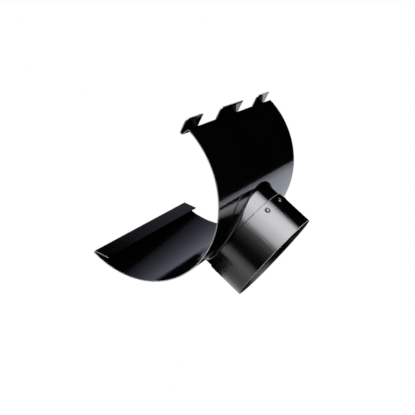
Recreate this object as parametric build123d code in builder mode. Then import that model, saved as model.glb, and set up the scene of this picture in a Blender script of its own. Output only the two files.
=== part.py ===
from build123d import *
import os
from math import cos, degrees, radians, sin, tan

# Outlet for a half-round rain gutter, folded and drawn from coated steel sheet.
# The gutter runs along X and lies in the saddle, and the downpipe hangs below along -Z.
# The front of the gutter is at -Y and its back is at +Y.
# The origin is where the axis of the gutter crosses the axis of the downpipe.

# Sheet and gutter
sheet = 0.7
gutter_width = 125
saddle_length = 125
saddle_inside = gutter_width / 2
saddle_outside = saddle_inside + sheet

# Rolled wall, in degrees from its lowest line
wall_to_front = 90.8
wall_to_back = 84.5

# Front hem, folded back into the saddle to hook round the bead of the gutter
hem_bend_inside = 0.5
hem_bend_turn = 158
hem_flap = 11.5

# Back tabs, stepped inwards and folded out again over the back edge of the gutter
tab_corner_inside = 0.2
tab_corner_turn = 79.5
tab_step = 4.4
tab_bend_inside = 0.7
tab_bend_turn = 154.5
tab_flap = 9.2
tab_round = 3
end_tab = 21
middle_tab = 33

# Spigot for the downpipe, pushed over the collar of the saddle
pipe_bore = 73.6
pipe_play = 0.4
spigot_outside = pipe_bore / 2 - pipe_play
spigot_inside = spigot_outside - sheet
spigot_below_wall = 1.3
spigot_top = saddle_outside + spigot_below_wall
spigot_length = 28.5
spigot_edge = 0.2

# Collar drawn out of the saddle
collar_play = 0.15
collar_outside = spigot_inside - collar_play
collar_inside = collar_outside - sheet
collar_overlap = 10
collar_root = 1.9

# Clinch points that lock the spigot to the collar, three on each high side, a little off its middle
clinch_drop = 4.8
clinch_pitch = 27.5
clinch_off = 2.5
clinch_width = 4.2
clinch_top = 3
clinch_rise = 0.18
clinch_play = 0.05
clinch_height = -(spigot_top + clinch_drop)
clinch_turns = [clinch_off - clinch_pitch, clinch_off, clinch_off + clinch_pitch]
clinch_angles = [side + turn for side in (90, -90) for turn in clinch_turns]

# Each clinch point is one low cone, pressed outwards through both sheets
clinch_slope = (clinch_width - clinch_top) / 2 / clinch_rise
cone_height = clinch_rise + sheet / 2
cone_top = clinch_top / 2
cone_foot = cone_top + clinch_slope * cone_height
spigot_clinch = spigot_outside + clinch_rise
collar_clinch = spigot_clinch - sheet - clinch_play


def cone_places(end):
    """Feet of the clinch cones whose tops lie at this distance from the spigot's axis."""
    planes = []
    for angle in clinch_angles:
        outward = Vector(cos(radians(angle)), sin(radians(angle)), 0)
        foot = outward * (end - cone_height) + Vector(0, 0, clinch_height)
        planes.append(Plane(origin=foot, x_dir=(0, 0, 1), z_dir=outward))
    return Locations(*planes)


def clinch_cone(mode=Mode.ADD):
    """One clinch cone, from its foot up."""
    Cone(cone_foot, cone_top, cone_height, align=(Align.CENTER, Align.CENTER, Align.MIN), mode=mode)


# The wall turns into a tab's first bend a little before the plain back edge
tab_corner_outside = tab_corner_inside + sheet
tab_corner_run = tab_corner_outside * tan(radians(tab_corner_turn / 2))
wall_to_bend = wall_to_back - degrees(tab_corner_run / saddle_outside)

# Outer line of the rolled wall, from the front hem to where the tabs bend
wall_line = CenterArc((0, 0), saddle_outside, -90 - wall_to_front, wall_to_front + wall_to_bend)

# Two gaps part the three tabs
gap = (saddle_length - middle_tab) / 2 - end_tab
gap_place = (middle_tab + gap) / 2
end_tab_place = (saddle_length - end_tab) / 2

# Section of a back tab, drawn along its lower face from the wall to the free edge
with BuildSketch() as tab_section:
    with BuildLine():
        corner = JernArc(wall_line @ 1, wall_line % 1, tab_corner_outside, tab_corner_turn)
        step = Line(corner @ 1, corner @ 1 + (corner % 1) * tab_step)
        bend = JernArc(step @ 1, step % 1, tab_bend_inside, -tab_bend_turn)
        Line(bend @ 1, bend @ 1 + (bend % 1) * tab_flap)
        offset(amount=sheet, side=Side.RIGHT)
    make_face()

with BuildPart() as saddle:
    # Rolled wall
    with BuildSketch(Plane.YZ):
        with BuildLine():
            add(wall_line)
            offset(amount=sheet, side=Side.LEFT)
        make_face()
    extrude(amount=saddle_length / 2, both=True)

    # Collar, drawn down out of the wall with a rounded root
    with BuildSketch(Plane.XY.offset(-spigot_top - collar_overlap)):
        Circle(collar_outside)
    extrude(until=Until.NEXT, target=saddle.part)
    fillet(saddle.edges().filter_by(GeomType.BSPLINE), collar_root)
    with BuildSketch(Plane.XY.offset(-spigot_top - collar_overlap)):
        Circle(collar_inside)
    extrude(amount=saddle_outside, mode=Mode.SUBTRACT)
    fillet(saddle.edges(Select.NEW).filter_by(GeomType.BSPLINE), collar_root + sheet)

    # Clinch points, seated in those of the spigot and hollow inside
    with cone_places(collar_clinch):
        clinch_cone()
    with cone_places(collar_clinch - sheet):
        clinch_cone(Mode.SUBTRACT)

    # Plain back edge in the two gaps between the tabs
    with BuildSketch(Plane.YZ.offset(gap_place), Plane.YZ.offset(-gap_place)):
        with BuildLine():
            CenterArc((0, 0), saddle_outside, wall_to_bend - 90, wall_to_back - wall_to_bend)
            offset(amount=sheet, side=Side.LEFT)
        make_face()
    extrude(amount=gap / 2, both=True)

    # Back tabs, each with one rounded corner on its free edge
    with BuildSketch(Plane.YZ.offset(end_tab_place), Plane.YZ.offset(-end_tab_place)):
        add(tab_section.sketch)
    extrude(amount=end_tab / 2, both=True)
    with BuildSketch(Plane.YZ):
        add(tab_section.sketch)
    extrude(amount=middle_tab / 2, both=True)
    free_faces = saddle.faces().group_by(Axis.Y)[-1]
    corner_edges = free_faces.edges().group_by(SortBy.LENGTH)[0].sort_by(Axis.X)
    fillet(corner_edges[1::2], tab_round)

    # Front hem, drawn from the wall over the fold to its free edge
    with BuildSketch(Plane.YZ):
        with BuildLine():
            fold = JernArc(wall_line @ 0, -(wall_line % 0), hem_bend_inside + sheet, -hem_bend_turn)
            Line(fold @ 1, fold @ 1 + (fold % 1) * hem_flap)
            offset(amount=sheet, side=Side.RIGHT)
        make_face()
    extrude(amount=saddle_length / 2, both=True)

with BuildPart() as spigot:
    # Plain tube
    with BuildSketch(Plane.XY.offset(-spigot_top)):
        Circle(spigot_outside)
        Circle(spigot_inside, mode=Mode.SUBTRACT)
    extrude(amount=-spigot_length)

    # Clinch points, hollow inside
    with cone_places(spigot_clinch):
        clinch_cone()
    with cone_places(spigot_clinch - sheet):
        clinch_cone(Mode.SUBTRACT)

    # Broken edges round both ends of the tube
    tube_rims = spigot.edges().filter_by(GeomType.CIRCLE).group_by(SortBy.RADIUS)[-1]
    fillet(tube_rims, spigot_edge)

os.makedirs("parts", exist_ok=True)
saddle.part.label = "saddle"
export_step(saddle.part, "parts/saddle.step")
spigot.part.label = "spigot"
export_step(spigot.part, "parts/spigot.step")
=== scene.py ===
from math import atan2, cos, hypot, radians, sin, sqrt

import bmesh
import bpy
from mathutils import Matrix, Vector


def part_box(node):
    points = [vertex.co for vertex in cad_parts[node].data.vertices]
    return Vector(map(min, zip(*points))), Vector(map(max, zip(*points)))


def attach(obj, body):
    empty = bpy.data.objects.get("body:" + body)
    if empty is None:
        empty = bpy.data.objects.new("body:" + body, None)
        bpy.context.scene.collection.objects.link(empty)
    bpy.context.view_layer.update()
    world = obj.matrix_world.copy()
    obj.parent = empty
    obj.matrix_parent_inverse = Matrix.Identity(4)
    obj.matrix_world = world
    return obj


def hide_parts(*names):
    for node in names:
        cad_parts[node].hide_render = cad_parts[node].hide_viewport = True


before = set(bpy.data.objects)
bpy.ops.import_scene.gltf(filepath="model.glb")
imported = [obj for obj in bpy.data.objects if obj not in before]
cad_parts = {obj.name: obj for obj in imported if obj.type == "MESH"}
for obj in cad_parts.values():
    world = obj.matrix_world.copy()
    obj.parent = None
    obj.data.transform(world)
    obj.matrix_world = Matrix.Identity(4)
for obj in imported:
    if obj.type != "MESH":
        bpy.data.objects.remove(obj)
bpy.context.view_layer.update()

# Saddle: one blank of coated steel sheet, rolled to lie round the outside of the gutter. Its
# bottom is pierced and drawn down into a collar. Its front edge is folded back into a hem that
# hooks round the gutter's bead, and its back edge into three tabs that fold over the gutter.
sheet = 0.0007
half_length = 0.0625
wall_radius = 0.0632
panel_turn = radians(50)
front_turn = radians(90.8)
back_turn = radians(84.5)
collar_radius = 0.03565
collar_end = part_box("saddle")[0].z
collar_root = 0.0019
collar_root_steps = 6
near = 0.00001


def pick(test):
    """Select the free edges that pass the test at both ends."""
    bpy.ops.mesh.select_mode(type="EDGE")
    bpy.ops.mesh.select_all(action="DESELECT")
    mesh = bmesh.from_edit_mesh(bpy.context.object.data)
    for edge in mesh.edges:
        edge.select = edge.is_boundary and all(test(end.co) for end in edge.verts)
    mesh.select_flush_mode()
    bmesh.update_edit_mesh(bpy.context.object.data)


def cut_across(test, cut):
    """Cut the faces that have a corner which passes the test, at a place along X."""
    bpy.ops.mesh.select_mode(type="FACE")
    bpy.ops.mesh.select_all(action="DESELECT")
    mesh = bmesh.from_edit_mesh(bpy.context.object.data)
    for face in mesh.faces:
        face.select = any(test(corner.co) for corner in face.verts)
    bmesh.update_edit_mesh(bpy.context.object.data)
    bpy.ops.mesh.bisect(plane_co=(cut, 0, 0), plane_no=(1, 0, 0))


def draw_down(drop):
    """Draw a tube straight down from the selected edges."""
    bpy.ops.mesh.extrude_region_move(TRANSFORM_OT_translate={"value": (0, 0, -drop)})


def draw_on(place, along, length):
    """Draw the sheet straight on from the selected edges. Gives the new place and direction."""
    move = along * length
    bpy.ops.mesh.extrude_region_move(TRANSFORM_OT_translate={"value": (0, move.x, move.y)})
    return place + move, along


def fold(place, along, radius, turn, steps):
    """Fold the sheet on round X from the selected edges. A turn to the left is positive.
    Places and directions are in the YZ plane. Gives the new place and direction."""
    centre = place + Vector((-along.y, along.x)) * (radius if turn > 0 else -radius)
    bpy.ops.mesh.spin(steps=steps, angle=-turn, center=(0, centre.x, centre.y), axis=(1, 0, 0))
    swing = Matrix.Rotation(turn, 2)
    return centre + swing @ (place - centre), swing @ along


def on_wall(turn):
    """Place on the wall's outer line, and its direction there, at a turn from the lowest place."""
    return Vector((sin(turn), -cos(turn))) * wall_radius, Vector((cos(turn), sin(turn)))


def edge_at(place, low=-half_length, high=half_length):
    """Test for the corners on a line along X, at a place in the YZ plane."""

    def on_line(co):
        aside = hypot(co.y - place.x, co.z - place.y)
        return aside < near and low - near < co.x < high + near

    return on_line


# The pierced panel is drawn outwards from the round hole in rings
round_cuts = 240
panel_rows = 4
ring_step = 0.001
bpy.ops.object.select_all(action="DESELECT")
bpy.ops.mesh.primitive_circle_add(vertices=round_cuts, radius=collar_radius)
saddle = bpy.context.object
saddle.name = "saddle_sheet"
bpy.ops.object.mode_set(mode="EDIT")
bpy.ops.mesh.select_mode(type="EDGE")
bpy.ops.mesh.select_all(action="SELECT")
ring = collar_radius
for row in range(panel_rows):
    bpy.ops.mesh.extrude_region_move()
    wider = 1 + ring_step / ring
    bpy.ops.transform.resize(value=(wider, wider, 1))
    ring += ring_step

# The rings widen to the panel's straight edges, and the panel is rolled to the wall's radius
panel = bmesh.from_edit_mesh(saddle.data)
for corner in panel.verts:
    turn = atan2(corner.co.y, corner.co.x)
    side = round(turn / radians(90)) * radians(90)
    edge = Matrix.Rotation(side, 2) @ Vector((1, (turn - side) / radians(45)))
    edge = Vector((edge.x * half_length, edge.y * wall_radius * sin(panel_turn)))
    hole = Vector((cos(turn), sin(turn))) * collar_radius
    corner.co.xy = hole.lerp(edge, (corner.co.length - collar_radius) / (ring - collar_radius))
    corner.co.z = -sqrt(wall_radius ** 2 - corner.co.y ** 2)
panel.normal_update()
if sum(face.normal.z for face in panel.faces) > 0:
    bpy.ops.mesh.select_all(action="SELECT")
    bpy.ops.mesh.flip_normals()
bmesh.update_edit_mesh(saddle.data)

# Collar, drawn straight down from the hole, with short steps where the clinch points come
clinch_height = -0.0693
clinch_reach = 0.0025
clinch_steps = 8
clinch_drops = [2 * clinch_reach / clinch_steps] * clinch_steps
pick(lambda co: hypot(co.x, co.y) < collar_radius + near)
draw_down(sheet)
tube = bmesh.from_edit_mesh(saddle.data)
for corner in tube.verts:
    if corner.select:
        corner.co.z = clinch_height + clinch_reach
bmesh.update_edit_mesh(saddle.data)
for drop in clinch_drops + [clinch_height - clinch_reach - collar_end]:
    draw_down(drop)

# Rounded root, where the sheet turns from the wall down into the collar
bpy.ops.mesh.select_all(action="DESELECT")
root = bmesh.from_edit_mesh(saddle.data)
for edge in root.edges:
    on_root = [abs(hypot(end.co.y, end.co.z) - wall_radius) < near for end in edge.verts]
    in_hole = [hypot(end.co.x, end.co.y) < collar_radius + near for end in edge.verts]
    edge.select = all(on_root) and all(in_hole)
bmesh.update_edit_mesh(saddle.data)
bpy.ops.mesh.bevel(
    offset=collar_root, segments=collar_root_steps, affect="EDGES", clamp_overlap=False
)

# Front of the wall, and the hem that is folded back inside it
front_steps = 20
fold_steps = 12
hem_bend = 0.0012
hem_turn = radians(158)
hem_reach = 0.0115
place, along = on_wall(-panel_turn)
pick(edge_at(place))
place, along = fold(place, -along, wall_radius, panel_turn - front_turn, front_steps)
place, along = fold(place, along, hem_bend, -hem_turn, fold_steps)
draw_on(place, along, hem_reach)

# Back of the wall, up to where the tabs bend
back_steps = 16
tab_corner = 0.0009
tab_setback = 0.7 * tab_corner
tab_turn = back_turn - tab_setback / wall_radius
place, along = on_wall(panel_turn)
pick(edge_at(place))
wall_end, wall_along = fold(place, along, wall_radius, tab_turn - panel_turn, back_steps)

# Cuts between the tabs and the gaps, and the plain edge in each gap
middle_tab = 0.0165
end_tab = 0.0415
for cut in (-end_tab, -middle_tab, middle_tab, end_tab):
    cut_across(edge_at(wall_end), cut)
for low, high in ((-end_tab, -middle_tab), (middle_tab, end_tab)):
    pick(edge_at(wall_end, low, high))
    fold(wall_end, wall_along, wall_radius, back_turn - tab_turn, 1)

# Tabs: stepped inwards, then folded out again over the back edge of the gutter, each with
# one rounded corner on its free edge
step_turn = radians(79.5)
step_steps = 8
step_reach = 0.0044
tab_fold_turn = radians(154.5)
tab_reach = 0.0092
tab_round = 0.003
tab_round_turns = range(15, 105, 15)
for low, high in ((-half_length, -end_tab), (-middle_tab, middle_tab), (end_tab, half_length)):
    pick(edge_at(wall_end, low, high))
    place, along = fold(wall_end, wall_along, tab_corner, step_turn, step_steps)
    place, along = draw_on(place, along, step_reach)
    place, along = fold(place, along, sheet, -tab_fold_turn, fold_steps)
    place, along = draw_on(place, along, tab_reach)
    at_tip = edge_at(place, low, high)
    for turn in tab_round_turns:
        cut_across(at_tip, high - tab_round * (1 - cos(radians(turn))))
    tab = bmesh.from_edit_mesh(saddle.data)
    for corner in tab.verts:
        past = corner.co.x - (high - tab_round)
        if past > 0 and at_tip(corner.co):
            back = along * (tab_round - sqrt(max(tab_round ** 2 - past ** 2, 0)))
            corner.co -= Vector((0, back.x, back.y))
    bmesh.update_edit_mesh(saddle.data)
bpy.ops.object.mode_set(mode="OBJECT")

# Clinch points, pressed outwards on the collar's two high sides: low round buttons, each with
# a fine groove round its foot
clinch_turns = [radians(side + turn) for side in (90, -90) for turn in (-25, 2.5, 30)]
clinch_cuts = 4
clinch_button = 0.0016
clinch_side = 0.0008
clinch_groove = 0.001
clinch_groove_depth = 0.00028
collar_clinch_rise = 0.00025


def clinch(piece, radius, rise):
    """Press the clinch points into a tube of a radius. Their faces are cut finer first."""
    points = [Vector((cos(turn), sin(turn), 0)) * radius for turn in clinch_turns]
    for point in points:
        point.z = clinch_height
    bpy.ops.object.mode_set(mode="EDIT")
    bpy.ops.mesh.select_mode(type="FACE")
    bpy.ops.mesh.select_all(action="DESELECT")
    mesh = bmesh.from_edit_mesh(piece.data)
    for face in mesh.faces:
        middle = face.calc_center_median()
        face.select = any((middle - point).length < clinch_reach for point in points)
    bmesh.update_edit_mesh(piece.data)
    bpy.ops.mesh.subdivide(number_cuts=clinch_cuts)
    bpy.ops.object.mode_set(mode="OBJECT")
    for corner in piece.data.vertices:
        for point in points:
            away = (corner.co - point).length
            if away < clinch_reach:
                slope = min(max((clinch_button - away) / clinch_side, 0), 1)
                press = rise * slope * slope * (3 - 2 * slope)
                past = (away - clinch_button + clinch_side / 2) / clinch_groove
                if 0 < past < 1:
                    press -= clinch_groove_depth * sin(radians(180 * past)) ** 2
                corner.co.xy *= 1 + press / radius


clinch(saddle, collar_radius, collar_clinch_rise)

# Thickness of the sheet, with its cut edges broken and bare. Each piece lists its finishes in
# the order coated, bare, dull.
coated, bare, dull = range(3)
edge_break = 0.00024
edge_break_from = radians(50)


def finish_sheet(piece, inside=coated):
    """Give the sheet its thickness, inwards from its outer face, and break its cut edges. Its
    inner face takes the finish that inside names."""
    thick = piece.modifiers.new("thickness", "SOLIDIFY")
    thick.thickness = sheet
    thick.offset = -1
    thick.use_even_offset = True
    thick.material_offset = inside
    thick.material_offset_rim = bare
    broken = piece.modifiers.new("broken edges", "BEVEL")
    broken.width = edge_break
    broken.segments = 2
    broken.limit_method = "ANGLE"
    broken.angle_limit = edge_break_from
    broken.material = bare
    shading = piece.modifiers.new("shading", "WEIGHTED_NORMAL")
    shading.weight = 100
    shading.keep_sharp = True
    bpy.ops.object.shade_smooth()
    for modifier in (thick, broken, shading):
        bpy.ops.object.modifier_apply(modifier=modifier.name)


def roll_shading(piece, across, radius):
    """Square the shading to the round of the rolled sheet, so that its gloss runs smoothly.
    Across is 0 along the axis of the round and 1 square to it."""
    rolled_face = 0.998
    rolled_corner = 0.9
    skin_gap = 0.00005
    mesh = piece.data
    normals = [corner.vector.copy() for corner in mesh.corner_normals]
    outward = [(vertex.co * across).normalized() for vertex in mesh.vertices]
    from_axis = [(vertex.co * across).length for vertex in mesh.vertices]
    rolled = set()
    for face in mesh.polygons:
        side = face.normal.dot((face.center * across).normalized())
        skin = radius if side > 0 else radius - sheet
        on_skin = all(abs(from_axis[vertex] - skin) < skin_gap for vertex in face.vertices)
        if abs(side) > rolled_face and on_skin:
            rolled.update(face.vertices)
    for face in mesh.polygons:
        for corner, vertex in zip(face.loop_indices, face.vertices):
            side = face.normal.dot(outward[vertex])
            if vertex in rolled and abs(side) > rolled_corner:
                normals[corner] = outward[vertex] * (1 if side > 0 else -1)
    mesh.normals_split_custom_set(normals)


class Value:
    """A number that varies over a surface, with the arithmetic of Python."""

    def __init__(self, finish, socket):
        self.finish = finish
        self.socket = socket

    def math(self, operation, first, second):
        return self.finish.node("ShaderNodeMath", {"operation": operation}, {0: first, 1: second})

    def __add__(self, other):
        return self.math("ADD", self, other)

    def __sub__(self, other):
        return self.math("SUBTRACT", self, other)

    def __rsub__(self, other):
        return self.math("SUBTRACT", other, self)

    def __mul__(self, other):
        return self.math("MULTIPLY", self, other)

    __radd__ = __add__
    __rmul__ = __mul__


class Finish:
    """The nodes of one material, or of the world. Mix has its colours in sockets 6 and 7, and
    gives the mixed colour at output 2."""

    def __init__(self, owner):
        owner.use_nodes = True
        self.owner = owner
        self.tree = owner.node_tree

    def feed(self, node, inputs):
        for name, value in inputs.items():
            if isinstance(value, Value):
                self.tree.links.new(value.socket, node.inputs[name])
            else:
                node.inputs[name].default_value = value

    def node(self, kind, settings, inputs, output=0):
        node = self.tree.nodes.new(kind)
        for name, value in settings.items():
            setattr(node, name, value)
        self.feed(node, inputs)
        return Value(self, node.outputs[output])

    def noise(self, scale, detail, stretch=(1, 1, 1)):
        place = self.node("ShaderNodeTexCoord", {}, {}, "Object")
        place = self.node("ShaderNodeMapping", {}, {"Vector": place, "Scale": stretch})
        return self.node("ShaderNodeTexNoise", {}, {"Vector": place, "Scale": scale, "Detail": detail})

    def blend(self, amount, first, second):
        inputs = {0: amount, 6: first, 7: second}
        return self.node("ShaderNodeMix", {"data_type": "RGBA"}, inputs, 2)

    def backdrop_rays(self):
        """1 for the rays that show what is behind the object: seen, mirrored or let through."""
        rays = self.node("ShaderNodeLightPath", {}, {}, "Is Camera Ray")
        path = rays.socket.node
        for kind in ("Is Glossy Ray", "Is Transmission Ray"):
            rays = rays + Value(self, path.outputs[kind])
        return rays

    def glow(self, colour, strength):
        """Make the surface a light."""
        self.tree.nodes.remove(self.tree.nodes["Principled BSDF"])
        light = self.node("ShaderNodeEmission", {}, {"Color": colour, "Strength": strength})
        self.tree.links.new(light.socket, self.tree.nodes["Material Output"].inputs["Surface"])


def black_coating(name, marks=0, dullness=0.0):
    """Baked gloss paint, almost black, with a faint orange peel and a slightly uneven sheen. The
    forming tool's fine marks show through it along Z, as strongly as marks says."""
    coating = Finish(bpy.data.materials.new(name))
    cloud = coating.noise(45, 3)
    grain = coating.noise(1500, 2)
    height = coating.noise(420, 2) + grain * 0.1 + coating.noise(1300, 3, (1, 1, 0.04)) * marks
    peel = {"Strength": 1.0, "Distance": 0.00002, "Height": height}
    coating.feed(
        coating.tree.nodes["Principled BSDF"],
        {
            "Base Color": coating.blend(
                cloud, (0.001, 0.001, 0.0015, 1), (0.003, 0.003, 0.004, 1)
            ),
            "Roughness": 0.06 + dullness + cloud * 0.025 + grain * 0.015,
            "Normal": coating.node("ShaderNodeBump", {}, peel),
        },
    )
    return coating.owner


# Cut edge: bare galvanised steel, where the shears went through the coated sheet
cut_edge = Finish(bpy.data.materials.new("cut_steel_edge"))
streak = cut_edge.noise(900, 3)
scratches = {"Strength": 0.4, "Distance": 0.00002, "Height": streak}
cut_edge.feed(
    cut_edge.tree.nodes["Principled BSDF"],
    {
        "Base Color": cut_edge.blend(streak, (0.36, 0.36, 0.37, 1), (0.6, 0.6, 0.59, 1)),
        "Metallic": 0.85,
        "Roughness": 0.38 + streak * 0.16,
        "Normal": cut_edge.node("ShaderNodeBump", {}, scratches),
    },
)

for material in (black_coating("black_coating"), cut_edge.owner):
    saddle.data.materials.append(material)
finish_sheet(saddle)

# The coating runs over the hem's long free edge, and only the hem's ends are bare
hem_behind = -0.045
hem_above = -0.03
for face in saddle.data.polygons:
    on_hem = face.center.y < hem_behind and face.center.z > hem_above
    on_end = abs(face.normal.x) > 0.5
    if on_hem and not on_end:
        face.material_index = coated
roll_shading(saddle, Vector((0, 1, 1)), wall_radius)
roll_shading(saddle, Vector((1, 1, 0)), collar_radius)
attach(saddle, "root")
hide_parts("saddle")

# Spigot: a short tube of the same sheet, pushed up over the collar and locked to it by clinch
# points that are pressed outwards through both. The downpipe is pushed up over it.
spigot_low, spigot_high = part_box("spigot")
spigot_radius = 0.0364
spigot_cuts = 360
spigot_clinch_rise = 0.00034
lip_height = 0.0005
lip_closed = 0.00035
lip_bare_from = 0.028
mouth_height = 0.0002
mouth_closed = 0.00014
lower_steps = 5
bpy.ops.object.select_all(action="DESELECT")
bpy.ops.mesh.primitive_circle_add(
    vertices=spigot_cuts, radius=spigot_radius, location=(0, 0, spigot_high.z)
)
spigot = bpy.context.object
spigot.name = "spigot_tube"
bpy.ops.object.transform_apply(location=True)
bpy.ops.object.mode_set(mode="EDIT")
bpy.ops.mesh.select_mode(type="EDGE")
bpy.ops.mesh.select_all(action="SELECT")
above = spigot_high.z - clinch_height - clinch_reach
below = clinch_height - clinch_reach - spigot_low.z - mouth_height
drops = [lip_height, above - lip_height] + clinch_drops
drops += [below / lower_steps] * lower_steps + [mouth_height]
for drop in drops:
    draw_down(drop)

# The upper lip is dressed down onto the collar, and is bare on its two high sides. The edge of
# the mouth is broken and bare all round.
tube = bmesh.from_edit_mesh(spigot.data)
for corner in tube.verts:
    if corner.co.z > spigot_high.z - near:
        corner.co.xy *= 1 - lip_closed / spigot_radius
    if corner.co.z < spigot_low.z + near:
        corner.co.xy *= 1 - mouth_closed / spigot_radius
lip_foot = spigot_high.z - lip_height
mouth_foot = spigot_low.z + mouth_height
for face in tube.faces:
    centre = face.calc_center_median()
    on_lip = centre.z > lip_foot and abs(centre.y) > lip_bare_from
    face.material_index = bare if on_lip or centre.z < mouth_foot else coated
for edge in tube.edges:
    for foot in (lip_foot, mouth_foot):
        if all(abs(end.co.z - foot) < near for end in edge.verts):
            edge.smooth = False
bpy.ops.mesh.select_all(action="SELECT")
tube.normal_update()
if sum(face.normal.dot(face.calc_center_median().xy.to_3d()) for face in tube.faces) < 0:
    bpy.ops.mesh.flip_normals()
bpy.ops.object.mode_set(mode="OBJECT")
clinch(spigot, spigot_radius, spigot_clinch_rise)
tube_outside = black_coating("black_coating_on_tube", marks=3)
tube_inside = black_coating("duller_coating_inside", dullness=0.15)
for material in (tube_outside, cut_edge.owner, tube_inside):
    spigot.data.materials.append(material)
finish_sheet(spigot, dull)
roll_shading(spigot, Vector((1, 1, 0)), spigot_radius)
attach(spigot, "root")
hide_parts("spigot")

# Camera, off one end of the saddle, towards its back and a little below the spigot's mouth. It
# looks slightly up and is rolled by about 45 degrees, so that the outlet leans as in the
# photograph.
view_from = Vector((0.3964, 0.2441, -0.1190))
view_along = Vector((-0.82899, -0.52841, 0.18320)).normalized()
view_up = Vector((-0.28262, 0.67848, 0.67808))
view_right = view_along.cross(view_up).normalized()
view_up = view_right.cross(view_along)
lens = bpy.data.cameras.new("camera")
lens.lens = 55.72
lens.sensor_width = 36
camera = bpy.data.objects.new("camera", lens)
turned = Matrix((view_right, view_up, -view_along)).transposed().to_4x4()
camera.matrix_world = Matrix.Translation(view_from) @ turned
bpy.context.scene.collection.objects.link(camera)
bpy.context.scene.camera = camera

# World: white where it is seen or mirrored, and a soft grey light on the object
room_light = 0.35
world = Finish(bpy.data.worlds.new("studio"))
bpy.context.scene.world = world.owner
bpy.context.scene.view_settings.view_transform = "Standard"
brightness = room_light + world.backdrop_rays() * (1 - room_light)
world.feed(world.tree.nodes["Background"], {"Color": (1, 1, 1, 1), "Strength": brightness})

# Studio cards, curved round the outlet, as a photographer sets them up to shape the reflections
# in a gloss black product. Only the gloss shows them.
card_columns = 96
card_rows = 24
card_middle = -0.07


def studio_card(name, low_edge, high_edge, brightness, tint=(1, 1, 1), top_share=1, reach=4):
    """Stand up a card. Each edge is given from its start to its end, as turn from +X and height,
    in degrees. The brightness values are spaced evenly from the card's start to its end, and its
    top has a share of them."""
    bpy.ops.object.select_all(action="DESELECT")
    bpy.ops.mesh.primitive_grid_add(x_subdivisions=card_columns, y_subdivisions=card_rows, size=1)
    card = bpy.context.object
    card.name = name
    glow = card.data.attributes.new("glow", "FLOAT_COLOR", "POINT")
    ends = [Vector(end) for end in low_edge + high_edge]
    for corner, light in zip(card.data.vertices, glow.data):
        across, up = corner.co.x + 0.5, corner.co.y + 0.5
        turn, height = ends[0].lerp(ends[1], across).lerp(ends[2].lerp(ends[3], across), up)
        turn, height = radians(turn), radians(height)
        corner.co = Vector((cos(turn) * cos(height), sin(turn) * cos(height), sin(height))) * reach
        corner.co.z += card_middle
        last = len(brightness) - 1
        step = min(int(across * last), last - 1)
        past = across * last - step
        level = brightness[step] * (1 - past) + brightness[step + 1] * past
        level *= 1 - up * (1 - top_share)
        light.color = [level * channel for channel in tint] + [1]
    finish = Finish(bpy.data.materials.new(name))
    finish.glow(finish.node("ShaderNodeAttribute", {"attribute_name": "glow"}, {}), 1.0)
    card.data.materials.append(finish.owner)
    card.visible_camera = False
    card.visible_shadow = False
    card.visible_diffuse = False


# One black card all round keeps the coating black
studio_card("black_card", [(0, -90), (360, -90)], [(0, 90), (360, 90)], (0, 0), reach=6)

# Tall bright strip on the tabs' side, whose start leans, and a dim card on which it fades out.
# The fading card stands a little further off, because the two overlap.
strip_tint = (0.97, 0.96, 1.0)
studio_card(
    "side_strip",
    [(80, -45), (127, -45)],
    [(35.5, 12), (127, 12)],
    (1.6, 10, 12.4, 14.8, 14.4, 11.8, 0.1),
    strip_tint,
)
studio_card(
    "strip_fade",
    [(-2, -8), (52, -8)],
    [(-17.5, 12), (36.5, 12)],
    (0.04, 0.06, 0.42, 1.6),
    strip_tint,
    reach=4.02,
)

# Dim bluish panels, one low and one high, beyond the saddle's other end
studio_card(
    "low_panel",
    [(173.3, -36), (187, -36)],
    [(183, -10), (208, -10)],
    (0.55, 1.42, 1.45, 1.2),
    (0.84, 0.89, 1.0),
)
studio_card(
    "high_panel",
    [(155, 24), (206, 24)],
    [(161, 46), (199, 46)],
    (0.09, 0.29, 0.44, 0.6, 0.7, 0.73, 0.05),
    (0.8, 0.84, 1.08),
    top_share=0.5,
)

# Dim panels along the front
studio_card(
    "front_panel",
    [(315, -8), (347, -8)],
    [(315, 9), (347, 9)],
    (1.5, 1.75, 1.15, 0.05),
    strip_tint,
)
studio_card(
    "far_panel",
    [(225, -8), (315, -8)],
    [(225, 5.2), (315, 5.5)],
    (0.5, 0.9, 0.7, 0.8, 1.45),
    strip_tint,
)

# Small card that lights the hem's cut end
studio_card("end_card", [(308, 12), (320, 12)], [(308, 20), (320, 20)], (5, 5))

# Soft box above, the lamp that lights the outlet and the floor
soft_box_place = (-0.65, 0.35, 1.3)
soft_box_size = (0.9, 1.3, 1)
soft_box_light = 3.2
bpy.ops.object.select_all(action="DESELECT")
bpy.ops.mesh.primitive_plane_add(size=1, location=soft_box_place)
bpy.ops.transform.resize(value=soft_box_size)
soft_box = bpy.context.object
soft_box.name = "soft_box"
soft_glow = Finish(bpy.data.materials.new("soft_box"))
soft_glow.glow((1, 1, 1, 1), soft_box_light)
soft_box.data.materials.append(soft_glow.owner)
soft_box.visible_camera = False

# Floor, a pale disc well below the outlet, which hangs clear of it
floor_radius = 0.42
floor_height = -0.36
bpy.ops.object.select_all(action="DESELECT")
bpy.ops.mesh.primitive_circle_add(
    vertices=96, radius=floor_radius, fill_type="NGON", location=(0, 0, floor_height)
)
floor = bpy.context.object
floor.name = "floor"
floor_finish = Finish(bpy.data.materials.new("pale_floor"))
seen = floor_finish.backdrop_rays()
floor_finish.feed(
    floor_finish.tree.nodes["Principled BSDF"],
    {
        "Base Color": (0.85, 0.85, 0.85, 1),
        "Roughness": 0.9,
        "Specular IOR Level": 0.0,
        "Emission Color": floor_finish.blend(seen, (0, 0, 0, 1), (0.5, 0.5, 0.5, 1)),
        "Emission Strength": 1.0,
    },
)
floor.data.materials.append(floor_finish.owner)
